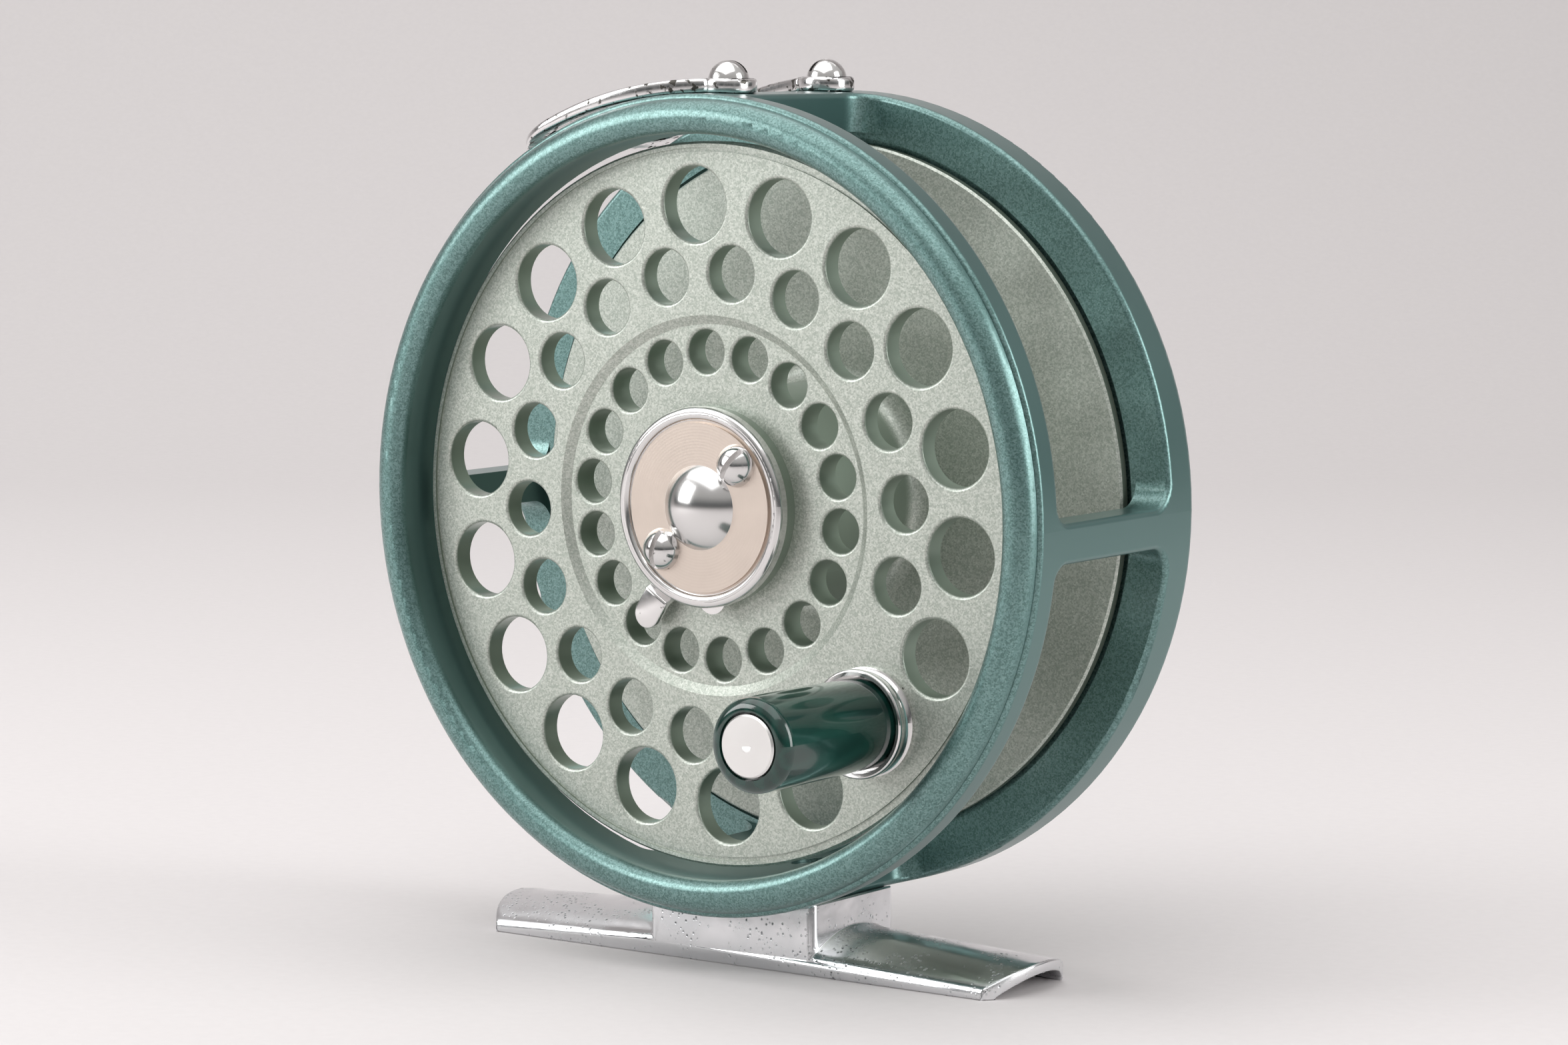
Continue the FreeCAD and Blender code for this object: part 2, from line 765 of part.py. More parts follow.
def regulator_cam():
    """An off-centre disc on a short shaft; it presses on the seat as the knob is turned."""
    throw = 0.4
    radius = regulator_offset - (seat_bottom + 0.7) - throw - side_gap
    front = housing_floor - 1.8
    disc = rod(regulator_x, regulator_offset - throw, front, housing_floor - 0.2, radius)
    shaft = rod(regulator_x, regulator_offset, front, housing_rear + knob_height - 1.2, 1.6 - running_fit)
    shaft = shaft.cut(rod(regulator_x, regulator_offset, housing_rear + 0.2, housing_rear + 9, 0.9))
    return disc.fuse(shaft)


def regulator_knob():
    """A milled knob on the back of the reel."""
    low = housing_rear + side_gap
    high = low + knob_height
    knob = rod(regulator_x, regulator_offset, low, high, knob_radius)
    knob = knob.makeFillet(0.5, ring_edges(knob, knob_radius, high))
    ridges = 24
    for step in range(ridges):
        dx, dz = polar(knob_radius + 0.12, step * 360 / ridges)
        knob = knob.cut(rod(regulator_x + dx, regulator_offset + dz, low + 0.6, high + 1, 0.36))
    shaft_end = housing_rear + knob_height - 1.2
    knob = knob.cut(rod(regulator_x, regulator_offset, low - 1, shaft_end, 1.6 - running_fit))
    knob = knob.cut(rod(regulator_x, regulator_offset, low - 1, high + 1, 0.9))
    return knob.cut(rod(regulator_x, regulator_offset, high - 0.9, high + 1, 2.1))


def regulator_screw():
    """The slotted screw that holds the knob on its shaft."""
    top = housing_rear + side_gap + knob_height
    head = rod(regulator_x, regulator_offset, top - 0.9, top - 0.1, 2.0)
    shank = rod(regulator_x, regulator_offset, housing_rear + 0.2, top - 0.9, 0.9)
    left = regulator_x - 2.2
    slot = block(left, left + 4.4, top - 0.5, top, regulator_offset - 0.25, regulator_offset + 0.25)
    return head.fuse(shank).cut(slot)


# The latch

def finger_tab(front, rear):
    """The lever's tab along +X: bent to the front just outside the cap, with a round end."""
    inner = pocket_radius - 0.3
    bend = cap_radius + 0.35
    rise = latch_bend
    side = [
        (inner, front),
        (bend, front),
        (bend + rise, front - rise),
        (latch_reach, front - rise),
        (latch_reach, rear - rise),
        (bend + rise + 0.3, rear - rise),
        (bend + 0.3, rear),
        (inner, rear),
    ]
    half = latch_tab_width / 2
    wire = outline(side, lambda x, y: Vector(x, y, -half))
    strip = Part.Face(wire).extrude(Vector(0, 0, 2 * half))
    straight = latch_reach - half
    plan = block(inner - 1, straight, front - 5, rear + 5, -half, half)
    plan = plan.fuse(rod(straight, 0, front - 5, rear + 5, half))
    return strip.common(plan)


def latch_lever():
    """A thin lever round the spindle's neck, with a finger tab beyond the boss."""
    front = boss_front + side_gap
    rear = front + latch_plate
    pivot, post = cover_spots()
    lever = rod(0, 0, front, rear, 4.2)
    eye = rod(*pivot, front, rear, post_radius + 0.75)
    neck = spin(block(2.8, cover_screw_ring, front, rear, -1.5, 1.5), cover_screw_turn)
    inner_arm = spin(block(3.2, pocket_radius - 0.2, front, rear, 0, latch_tab_width / 2), latch_turn)
    tab = finger_tab(front, rear)
    ear = spin(block(-6.0, -3.6, front, rear, -1.0, 1.0), -spool_turn)
    lever = lever.fuse([eye, neck, inner_arm, spin(tab, latch_turn), ear])
    travel = math.radians(latch_swing) * cover_screw_ring
    slot_radius = spindle_head + 0.1
    length = travel + 0.3
    slot = rod(0, 0, front - 1, rear + 1, slot_radius).fuse([
        rod(length, 0, front - 1, rear + 1, slot_radius),
        block(0, length, front - 1, rear + 1, -slot_radius, slot_radius),
    ])
    lever = lever.cut(spin(slot, cover_screw_turn + 90))
    lever = lever.cut(rod(*pivot, front - 1, rear + 1, post_radius + running_fit))
    return spin(lever.removeSplitter(), spool_turn)


def latch_spring():
    """The small spring that holds the latch closed; it stands on the lower post."""
    post_x, post_z = polar(cover_screw_ring, cover_screw_turn + 180 + spool_turn)
    middle = boss_front + side_gap + latch_plate / 2
    return coil(post_x, middle, post_z + post_radius, -1.0, 0.36, 0.09, 5)


def latch_cover():
    """The chrome cap: a raised rim, a turned face, a polished dome and a thumb lug."""
    dome_bulge = (dome_radius ** 2 + dome_height ** 2) / (2 * dome_height)
    groove, groove_width, groove_depth = cap_groove
    rim_inner = groove + groove_width
    rim_middle = (cap_radius + rim_inner) / 2
    steps = [
        (0, boss_front),
        (cap_radius, boss_front),
        (cap_radius, cap_front + 0.6),
        (cap_radius - 0.15, cap_front + 0.2, rim_middle, cap_front),
        (rim_inner + 0.15, cap_front + 0.12, rim_inner, cap_front + 0.35),
        (rim_inner, cap_floor + groove_depth),
        (groove, cap_floor + groove_depth),
        (groove, cap_floor),
        (0, cap_floor),
    ]
    cap = turned(steps)
    ball = Part.makeSphere(dome_bulge, Vector(0, cap_floor - dome_height + dome_bulge, 0))
    dome = rod(0, 0, cap_floor - dome_height, cap_floor, dome_radius).common(ball)
    cap = cap.fuse(dome)
    cap = cap.cut(rod(0, 0, boss_front - 0.9, boss_front + 1, spindle_head + 0.5))
    lug_rear = boss_front - 0.1
    lug_face = lug_rear - 0.6
    x, z = polar(cap_radius - 1.2, lug_turn)
    cap = cap.fuse(rod(x, z, lug_face, lug_rear, 1.9)).removeSplitter()
    for x, z in cover_spots():
        cap = cap.cut(rod(x, z, cap_front - 3, boss_front + 1, 0.8))
    return spin(cap, spool_turn)


def cover_screws():
    """Two domed slotted screws in the latch cover."""
    screws = []
    for (x, z), turn in zip(cover_spots(), (51, 76)):
        screw = domed_screw(2.35, 1.9, 0.8, boss_front - cap_floor + 1.5, turn)
        screws.append(spin(facing_front(screw, x, cap_floor, z), spool_turn))
    return screws


# The handle

def at_handle(shape):
    """Move a piece that was made on the axis out to the handle's place."""
    x, z = handle_spot()
    moved = shape.copy()
    moved.translate(Vector(x, 0, z))
    return spin(moved, spool_turn)


def handle_cup():
    """The chrome cup at the root of the handle."""
    lip = -cup_height
    steps = [
        (pin_radius, 0),
        (cup_radius, 0),
        (cup_radius, -0.45),
        (cup_radius - 0.55, -1.0, cup_radius - 0.3, lip + 0.75),
        (cup_radius + 0.02, lip + 0.35, cup_radius - 0.25, lip),
        (handle_base_radius + 0.35, lip + 0.12),
        (handle_base_radius + 0.35, -0.7),
        (pin_radius, -0.7),
    ]
    return at_handle(turned(steps))


def handle_pin():
    """The fixed pin that the handle turns on, with its polished end."""
    end = -handle_length
    steps = [
        (0, front_flange_rim + 3.2),
        (pin_radius, front_flange_rim + 3.2),
        (pin_radius, end + 0.8),
        (pin_disc_radius, end + 0.8),
        (pin_disc_radius, end + 0.05),
        (pin_disc_radius - 0.2, end - 0.15),
        (0, end - 0.2),
    ]
    return at_handle(turned(steps))


def handle_nut():
    """A hexagon nut on the pin, behind the flange."""
    front = front_flange_rim + 1.2
    corners = [polar(3.3, 60 * step) for step in range(6)]
    nut = plate(corners, front, front + 1.6)
    nut = nut.fuse(rod(0, 0, front_flange_web, front, 2.9))
    return at_handle(nut.cut(rod(0, 0, -1, front + 3, pin_radius)))


def handle_knob():
    """The plastic handle, slightly tapered, with a rounded end around the pin's disc."""
    end = -handle_length
    round_end = 1.3
    bend = round_end * (1 - math.sqrt(0.5))
    bore = pin_radius + running_fit
    disc_hole = pin_disc_radius + 0.25
    steps = [
        (bore, -1.0),
        (handle_base_radius - 0.3, -1.0),
        (handle_base_radius, -1.3),
        (handle_radius, end + 6),
        (handle_radius, end + round_end),
        (handle_radius - bend, end + bend, handle_radius - round_end, end),
        (disc_hole, end),
        (disc_hole, end + 0.8 + side_gap),
        (bore, end + 0.8 + side_gap),
    ]
    return at_handle(turned(steps))


MAKERS = [
    frame_cage, foot, foot_screws, line_guard, guard_screws,
    spindle, spindle_nut, hub_bush, spool, ratchet_wheel, ratchet_screws,
    pawl_stud, click_pawl, check_spring, spring_seat, seat_screws,
    regulator_cam, regulator_knob, regulator_screw,
    latch_cover, cover_screws, latch_lever, latch_spring,
    handle_cup, handle_pin, handle_nut, handle_knob,
]

for maker in MAKERS:
    save(maker.__name__, maker())
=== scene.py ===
# %% [markdown]
# # A fly reel, dressed for the studio
# A fly reel is a spool in an open cage. The cage and spool are cast or turned from light alloy
# and painted with metallic enamel, the small fittings are chromed, and the foot is a plated
# casting. The engineering model already holds every piece at its true size. In this lesson we
# load it as a fixed frame, round the edges that a polisher's wheel would have rounded, and give
# each piece the finish of the real one.

import bpy
import math
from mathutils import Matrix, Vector


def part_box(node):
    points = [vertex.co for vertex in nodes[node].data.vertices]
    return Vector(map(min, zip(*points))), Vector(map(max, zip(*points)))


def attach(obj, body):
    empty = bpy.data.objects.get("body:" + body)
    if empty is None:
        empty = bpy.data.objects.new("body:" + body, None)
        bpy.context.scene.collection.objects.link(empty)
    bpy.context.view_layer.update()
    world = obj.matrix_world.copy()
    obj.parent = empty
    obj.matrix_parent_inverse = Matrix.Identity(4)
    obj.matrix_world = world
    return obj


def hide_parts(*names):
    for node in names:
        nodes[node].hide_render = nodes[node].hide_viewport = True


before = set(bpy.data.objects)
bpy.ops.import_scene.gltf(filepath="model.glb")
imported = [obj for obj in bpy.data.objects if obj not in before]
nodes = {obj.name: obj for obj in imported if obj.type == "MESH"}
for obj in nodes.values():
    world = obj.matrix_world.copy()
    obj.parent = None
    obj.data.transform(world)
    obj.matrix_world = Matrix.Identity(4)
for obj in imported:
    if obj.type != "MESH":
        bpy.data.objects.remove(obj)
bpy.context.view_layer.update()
mm = 0.001

# %% [markdown]
# ## Places that everything else follows
# Each node's box says where it is, so the reel's own measures are read from the frame. The
# spool turns about a line along Y, through the middle of the cage.

# %% Read the main places
cage_low, cage_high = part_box("frame_cage")
cage_radius = (cage_high.x - cage_low.x) / 2
axis_height = cage_high.z - cage_radius
spool_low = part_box("spool")[0]
hub = Vector((0, 0, axis_height))
print("cage radius mm:", round(cage_radius / mm, 2), "axis height mm:", round(axis_height / mm, 2))

# %% [markdown]
# ## Two small tools
# Colours are written as the hex values that a screen shows, and one function turns them into
# the linear light that a renderer works with. Another adds one node to a material, sets its
# values and joins its inputs, which keeps each recipe short enough to read.

# %% Colour and node helpers
MIX, FIRST, SECOND, MIXED = 0, 6, 7, 2    # a colour Mix node's sockets, by number


def linear(hex_colour):
    """sRGB hex to linear red, green, blue and alpha."""
    channels = [int(hex_colour[i:i + 2], 16) / 255 for i in (0, 2, 4)]
    light = [c / 12.92 if c <= 0.04045 else ((c + 0.055) / 1.055) ** 2.4 for c in channels]
    return (*light, 1.0)


def add(tree, kind, inputs=None, **settings):
    """One node with its settings; an input may be a value or another node's output."""
    node = tree.nodes.new(kind)
    for name, value in settings.items():
        setattr(node, name, value)
    for name, value in (inputs or {}).items():
        if isinstance(value, bpy.types.NodeSocket):
            tree.links.new(value, node.inputs[name])
        else:
            node.inputs[name].default_value = value
    return node


def new_finish(name, **shader_values):
    """A material with one Principled shader; returns it with its tree, shader and coordinates."""
    material = bpy.data.materials.new(name)
    material.use_nodes = True
    tree = material.node_tree
    shader = tree.nodes["Principled BSDF"]
    for socket, value in shader_values.items():
        shader.inputs[socket.replace("_", " ")].default_value = value
    place = add(tree, "ShaderNodeTexCoord").outputs["Object"]
    return material, tree, shader, place


print("mid grey in linear light:", [round(c, 3) for c in linear("808080")[:3]])

# %% [markdown]
# ## Metallic enamel
# Metallic enamel is a clear, tinted paint with aluminium flakes in it, sprayed on and baked.
# The flakes lie at slightly different angles, so each one is a little lighter or darker than
# its neighbour, and the coat over them is smooth and glossy. The flakes are far too fine to
# draw one by one, so the cells here are about a sixth of a millimetre, the finest that show.
# A slow noise makes the coat a little uneven, as sprayed paint is. Faces that turn away from the front, such as
# the walls of holes and the sides of the rims, are painted a darker colour, a painted shade for the light that
# doesn't reach them.

# %% Make the enamel finishes
def metallic_enamel(name, body, shade, flake, painted_wall_shade, metallic, roughness, flake_size, contrast):
    """Enamel of one body colour, with darker patches, lighter flakes, and a painted shade colour on faces that
    turn away from the front, such as hole walls.
    """
    material, tree, shader, place = new_finish(name, Metallic=metallic, Coat_Weight=0.55, Coat_Roughness=0.22)
    flakes = add(tree, "ShaderNodeTexVoronoi", {"Vector": place, "Scale": 1 / flake_size})
    grey = add(tree, "ShaderNodeSeparateColor", {"Color": flakes.outputs["Color"]})
    fine = add(tree, "ShaderNodeTexNoise", {"Vector": place, "Scale": 0.4 / flake_size, "Detail": 3.0})
    speck = add(tree, "ShaderNodeMath", {0: grey.outputs[0], 1: fine.outputs["Fac"]}, operation="MULTIPLY")
    tone = add(tree, "ShaderNodeValToRGB", {"Fac": speck.outputs[0]})
    ramp = tone.color_ramp
    ramp.elements[0].position = 0.12 - 0.1 * contrast
    ramp.elements[0].color = linear(shade)
    ramp.elements[1].position = 0.75
    ramp.elements[1].color = linear(flake)
    ramp.elements.new(0.27).color = linear(body)
    cloud = add(tree, "ShaderNodeTexNoise", {"Vector": place, "Scale": 1 / (14 * mm), "Detail": 2.0})
    amount = add(tree, "ShaderNodeMapRange", {"Value": cloud.outputs["Fac"], "To Min": 0.0, "To Max": 0.2})
    clouded = add(tree, "ShaderNodeMix",
                  {MIX: amount.outputs[0], FIRST: tone.outputs[0], SECOND: linear(shade)}, data_type="RGBA")
    # Painted shade: faces whose normal lies across the Y axis (hole walls, rim sides and bores) blend toward the
    # fourth colour, which stands in for the shade that falls there.
    normal = add(tree, "ShaderNodeTexCoord").outputs["Normal"]
    facing = add(tree, "ShaderNodeSeparateXYZ", {"Vector": normal}).outputs["Y"]
    steep = add(tree, "ShaderNodeMath", {0: facing}, operation="ABSOLUTE")
    wall = add(tree, "ShaderNodeMapRange", {"Value": steep.outputs[0], "From Min": 0.05, "From Max": 0.6,
                                            "To Min": 1.0, "To Max": 0.0})
    wall_shaded = add(tree, "ShaderNodeMix",
                 {MIX: wall.outputs[0], FIRST: clouded.outputs[MIXED], SECOND: linear(painted_wall_shade)}, data_type="RGBA")
    tree.links.new(wall_shaded.outputs[MIXED], shader.inputs["Base Color"])
    wave = add(tree, "ShaderNodeMapRange", {"Value": cloud.outputs["Fac"],
                                            "To Min": roughness - 0.05, "To Max": roughness + 0.07})
    tree.links.new(wave.outputs[0], shader.inputs["Roughness"])
    bump = add(tree, "ShaderNodeBump", {"Height": speck.outputs[0], "Strength": 0.05, "Distance": 0.03 * mm})
    tree.links.new(bump.outputs[0], shader.inputs["Normal"])
    return material


# The fourth colour of each enamel is painted shade for hole walls and rim sides, not a different paint.
cage_enamel = metallic_enamel("teal_metallic_enamel", "6f918e", "587874", "8aaaa7", "5a7b78",
                              metallic=0.8, roughness=0.36, flake_size=0.16 * mm, contrast=0.6)
spool_enamel = metallic_enamel("sage_metallic_enamel", "c0c6bd", "a8b0a6", "dee2da", "8b998b",
                               metallic=0.65, roughness=0.42, flake_size=0.16 * mm, contrast=0.5)
print("enamels:", cage_enamel.name, spool_enamel.name)

# %% [markdown]
# ## Chrome, plated alloy and machined metal
# Chrome plate is a mirror with the faintest haze and some hairline scratches. A turned face
# has rings round its centre, left by the lathe. The foot is a casting that was plated bright:
# its skin is wavy, with small pits where the metal has corroded through.

# %% Make the bare metals
def polished_chrome(name, tint, roughness, scratch, wear):
    """Chrome plate with hairline scratches and, where it is worn, small dull brown-grey spots."""
    material, tree, shader, place = new_finish(name, Metallic=1.0)
    drawn = add(tree, "ShaderNodeMapping", {"Vector": place, "Rotation": (0.3, 0.5, 0.9), "Scale": (1, 14, 1)})
    hair = add(tree, "ShaderNodeTexNoise", {"Vector": drawn.outputs[0], "Scale": 1 / (2.5 * mm), "Detail": 6.0})
    rough = add(tree, "ShaderNodeMapRange", {"Value": hair.outputs["Fac"], "From Min": 0.35, "From Max": 0.8,
                                             "To Min": roughness, "To Max": roughness + 0.14})
    spots = add(tree, "ShaderNodeTexNoise", {"Vector": place, "Scale": 1 / (0.9 * mm), "Detail": 5.0})
    worn = add(tree, "ShaderNodeMapRange",
               {"Value": spots.outputs["Fac"], "From Min": 0.66 - wear, "From Max": 0.72 - wear})
    colour = add(tree, "ShaderNodeMix",
                 {MIX: worn.outputs[0], FIRST: linear(tint), SECOND: linear("55534f")}, data_type="RGBA")
    tree.links.new(colour.outputs[MIXED], shader.inputs["Base Color"])
    dulled = add(tree, "ShaderNodeMix", {0: worn.outputs[0], 2: rough.outputs[0], 3: 0.45}, data_type="FLOAT")
    tree.links.new(dulled.outputs[0], shader.inputs["Roughness"])
    bump = add(tree, "ShaderNodeBump", {"Height": hair.outputs["Fac"], "Strength": scratch, "Distance": 0.02 * mm})
    tree.links.new(bump.outputs[0], shader.inputs["Normal"])
    return material


def machined_metal(name, tint, roughness, grain, unevenness=0.2):
    """Bare metal with fine, uneven tool marks."""
    material, tree, shader, place = new_finish(name, Metallic=1.0)
    marks = add(tree, "ShaderNodeTexNoise", {"Vector": place, "Scale": 1 / grain, "Detail": 4.0})
    tone = add(tree, "ShaderNodeMapRange", {"Value": marks.outputs["Fac"], "To Min": 1.0 - unevenness,
                                            "To Max": 1.0 + unevenness / 2})
    shade = add(tree, "ShaderNodeVectorMath", {0: linear(tint)[:3], "Scale": tone.outputs[0]}, operation="SCALE")
    tree.links.new(shade.outputs[0], shader.inputs["Base Color"])
    rough = add(tree, "ShaderNodeMapRange", {"Value": marks.outputs["Fac"],
                                             "To Min": roughness - 0.06, "To Max": roughness + 0.08})
    tree.links.new(rough.outputs[0], shader.inputs["Roughness"])
    return material


chrome = polished_chrome("polished_chrome", "dedddc", 0.1, 0.08, wear=0.0)
worn_chrome = polished_chrome("worn_chrome", "e6e5e5", 0.12, 0.12, wear=0.09)
steel = machined_metal("machined_steel", "b9b8b5", 0.3, 0.5 * mm)
bronze = machined_metal("turned_bronze", "b98f52", 0.32, 0.5 * mm)
pin_steel = machined_metal("polished_steel_pin", "eeedeb", 0.34, 2.5 * mm, unevenness=0.04)
blued_steel = machined_metal("blued_spring_steel", "5d6068", 0.35, 0.3 * mm)
print("metals:", chrome.name, steel.name, bronze.name, blued_steel.name)

# %% [markdown]
# ## The latch cover's two finishes
# The cover is one chromed turning, but its sunk face was left satin from the lathe, and it is
# warmer than the polished rim and dome. One material does both: the distance from the hub says
# where the satin face is, and rings a third of a millimetre apart stand for the lathe's marks.

# %% Make the cover's finish
def turned_cover(name, ring_from, ring_to, centre):
    """Chrome with a satin, ringed band between two radii round the hub."""
    material, tree, shader, place = new_finish(name, Metallic=1.0)
    local = add(tree, "ShaderNodeVectorMath", {0: place, 1: centre}, operation="SUBTRACT")
    flat = add(tree, "ShaderNodeVectorMath", {0: local.outputs[0], 1: (1, 0, 1)}, operation="MULTIPLY")
    radius = add(tree, "ShaderNodeVectorMath", {0: flat.outputs[0]}, operation="LENGTH").outputs["Value"]
    past = add(tree, "ShaderNodeMath", {0: radius, 1: ring_from}, operation="GREATER_THAN")
    within = add(tree, "ShaderNodeMath", {0: radius, 1: ring_to}, operation="LESS_THAN")
    band = add(tree, "ShaderNodeMath", {0: past.outputs[0], 1: within.outputs[0]}, operation="MULTIPLY")
    satin = band.outputs[0]
    rings = add(tree, "ShaderNodeMath", {0: radius, 1: 2 * math.pi / (0.33 * mm)}, operation="MULTIPLY")
    ripple = add(tree, "ShaderNodeMath", {0: rings.outputs[0]}, operation="SINE")
    smudge = add(tree, "ShaderNodeTexNoise", {"Vector": place, "Scale": 1 / (3 * mm), "Detail": 5.0})
    tone = add(tree, "ShaderNodeMapRange", {"Value": smudge.outputs["Fac"], "To Min": 0.0, "To Max": 0.6})
    face = add(tree, "ShaderNodeMix", {MIX: tone.outputs[0], FIRST: linear("dccfc4"), SECOND: linear("c6bab0")},
               data_type="RGBA")
    colour = add(tree, "ShaderNodeMix", {MIX: satin, FIRST: linear("dedddc"), SECOND: face.outputs[MIXED]},
                 data_type="RGBA")
    tree.links.new(colour.outputs[MIXED], shader.inputs["Base Color"])
    dull = add(tree, "ShaderNodeMapRange", {"Value": ripple.outputs[0], "From Min": -1.0, "From Max": 1.0,
                                            "To Min": 0.34, "To Max": 0.4})
    rough = add(tree, "ShaderNodeMix", {0: satin, 2: 0.18, 3: dull.outputs[0]}, data_type="FLOAT")
    tree.links.new(rough.outputs[0], shader.inputs["Roughness"])
    height = add(tree, "ShaderNodeMath", {0: ripple.outputs[0], 1: satin}, operation="MULTIPLY")
    bump = add(tree, "ShaderNodeBump", {"Height": height.outputs[0], "Strength": 0.1, "Distance": 0.01 * mm})
    tree.links.new(bump.outputs[0], shader.inputs["Normal"])
    return material


dome_edge, face_edge = 4.66 * mm, 9.54 * mm
cover_finish = turned_cover("chrome_with_turned_face", dome_edge, face_edge, hub)
print("cover finish:", cover_finish.name)

# %% [markdown]
# ## The foot's pitted plate
# Bright plate over a casting follows the casting's waves, so it reads lighter and darker in
# broad patches. Pits are small dark dots, mostly in clusters, and a cellular pattern with a
# noise over it gives that.

# %% Make the foot's finish
def pitted_plate(name):
    """Plated casting with waves and clusters of pits."""
    material, tree, shader, place = new_finish(name, Metallic=1.0)
    waves = add(tree, "ShaderNodeTexNoise", {"Vector": place, "Scale": 1 / (5 * mm), "Detail": 3.0})
    cells = add(tree, "ShaderNodeTexVoronoi", {"Vector": place, "Scale": 1 / (0.6 * mm)})
    dot = add(tree, "ShaderNodeMapRange", {"Value": cells.outputs["Distance"], "From Min": 0.1, "From Max": 0.3,
                                           "To Min": 1.0, "To Max": 0.0})
    cluster = add(tree, "ShaderNodeMapRange", {"Value": waves.outputs["Fac"], "From Min": 0.44, "From Max": 0.6})
    pitting = add(tree, "ShaderNodeMath", {0: dot.outputs[0], 1: cluster.outputs[0]}, operation="MULTIPLY")
    pits = pitting.outputs[0]
    skin = add(tree, "ShaderNodeMix",
               {MIX: waves.outputs["Fac"], FIRST: linear("f2f2f4"), SECOND: linear("dcdee0")}, data_type="RGBA")
    colour = add(tree, "ShaderNodeMix", {MIX: pits, FIRST: skin.outputs[MIXED], SECOND: linear("7d8082")},
                 data_type="RGBA")
    tree.links.new(colour.outputs[MIXED], shader.inputs["Base Color"])
    rough = add(tree, "ShaderNodeMapRange", {"Value": waves.outputs["Fac"], "From Min": 0.3, "From Max": 0.7,
                                             "To Min": 0.14, "To Max": 0.32})
    pitted = add(tree, "ShaderNodeMix", {0: pits, 2: rough.outputs[0], 3: 0.7}, data_type="FLOAT")
    tree.links.new(pitted.outputs[0], shader.inputs["Roughness"])
    sunk = add(tree, "ShaderNodeMath", {0: waves.outputs["Fac"], 1: pits}, operation="SUBTRACT")
    bump = add(tree, "ShaderNodeBump", {"Height": sunk.outputs[0], "Strength": 0.35, "Distance": 0.12 * mm})
    tree.links.new(bump.outputs[0], shader.inputs["Normal"])
    return material


foot_plate = pitted_plate("pitted_bright_plate")
print("foot finish:", foot_plate.name)

# %% [markdown]
# ## The handle's plastic
# The handle is turned from a cast plastic rod, deep green and polished. Such rod has faint
# darker swirls in it, like grain, where the dye was not quite mixed.

# %% Make the handle's finish
def swirled_plastic(name):
    """Polished plastic with soft swirls along the rod."""
    material, tree, shader, place = new_finish(name, Roughness=0.14, Coat_Weight=0.6, Coat_Roughness=0.05)
    drawn = add(tree, "ShaderNodeMapping", {"Vector": place, "Scale": (1, 0.35, 1)})
    swirl = add(tree, "ShaderNodeTexWave", {"Vector": drawn.outputs[0], "Scale": 0.35 / (2 * mm),
                                            "Distortion": 7.0, "Detail": 2.0, "Detail Scale": 1.5})
    tone = add(tree, "ShaderNodeMix",
               {MIX: swirl.outputs["Fac"], FIRST: linear("0f2f29"), SECOND: linear("183f37")}, data_type="RGBA")
    tree.links.new(tone.outputs[MIXED], shader.inputs["Base Color"])
    return material


handle_plastic = swirled_plastic("deep_green_cast_plastic")
print("handle finish:", handle_plastic.name)

# %% [markdown]
# ## Edges that the polisher rounded
# A bent guard, a cast foot and a pressed lever are buffed before they are plated, so no edge on
# them is sharp, and each one catches a thin line of light. The engineering model has these
# edges crisp. Here a copy of the node's mesh is merged into one surface, its sharp edges are
# given a bevel weight, and a Bevel modifier rounds just those. Where edges meet at a narrow
# angle, a bevel can throw a corner out past the piece, so each such corner is brought back to
# the node's own box.

# %% Round edges on a copy of a node
weld_gap = 0.001 * mm              # corners closer than this are one corner
flat_angle = math.radians(0.5)     # faces that turn less than this are one face
smooth_angle = math.radians(32)    # edges that turn less than this are shaded smooth
stray_limit = 0.01 * mm            # a corner further out than this is brought back


def rounded_copy(name, node, body, finish, width, sharp=35, segments=3):
    """A merged copy of a node that replaces it, with its sharp edges rounded."""
    mesh = nodes[node].data.copy()
    mesh.materials.clear()
    mesh.materials.append(finish)
    piece = bpy.data.objects.new(name, mesh)
    bpy.context.collection.objects.link(piece)
    bpy.ops.object.select_all(action="DESELECT")
    piece.select_set(True)
    bpy.context.view_layer.objects.active = piece
    bpy.ops.object.mode_set(mode="EDIT")
    bpy.ops.mesh.select_all(action="SELECT")
    bpy.ops.mesh.remove_doubles(threshold=weld_gap)
    bpy.ops.mesh.dissolve_limited(angle_limit=flat_angle)
    bpy.ops.object.mode_set(mode="OBJECT")
    normals = {}
    for face in mesh.polygons:
        for key in face.edge_keys:
            normals.setdefault(key, []).append(face.normal)
    weight = mesh.attributes.new("bevel_weight_edge", "FLOAT", "EDGE")
    count = 0
    for edge in mesh.edges:
        sides = normals.get(edge.key, [])
        if len(sides) != 2 or sides[0].angle(sides[1], 0.0) < math.radians(sharp):
            continue
        weight.data[edge.index].value = 1.0
        count += 1
    bevel = piece.modifiers.new("rounded", "BEVEL")
    bevel.limit_method = "WEIGHT"
    bevel.width = width
    bevel.segments = segments
    bevel.use_clamp_overlap = False
    bevel.harden_normals = False
    bpy.ops.object.modifier_apply(modifier="rounded")
    low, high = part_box(node)
    strays = 0
    for vertex in mesh.vertices:
        inside = Vector([min(max(vertex.co[i], low[i]), high[i]) for i in range(3)])
        if max(abs(c) for c in vertex.co - inside) > stray_limit:
            vertex.co = inside
            strays += 1
    bpy.ops.object.shade_smooth_by_angle(angle=smooth_angle)
    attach(piece, body)
    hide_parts(node)
    print(name, "edges rounded:", count, "corners brought back:", strays, "faces:", len(mesh.polygons))
    return piece


rounded_copy("guard_loop", "line_guard", "frame", worn_chrome, 0.4 * mm)
rounded_copy("rod_foot", "foot", "frame", foot_plate, 0.25 * mm)
rounded_copy("latch_tab", "latch_lever", "latch", chrome, 0.2 * mm)

# %% [markdown]
# ## Dress the pieces
# Each node of the engineering model takes the finish of the real piece. The table is the
# reel's list of parts, read by finish.

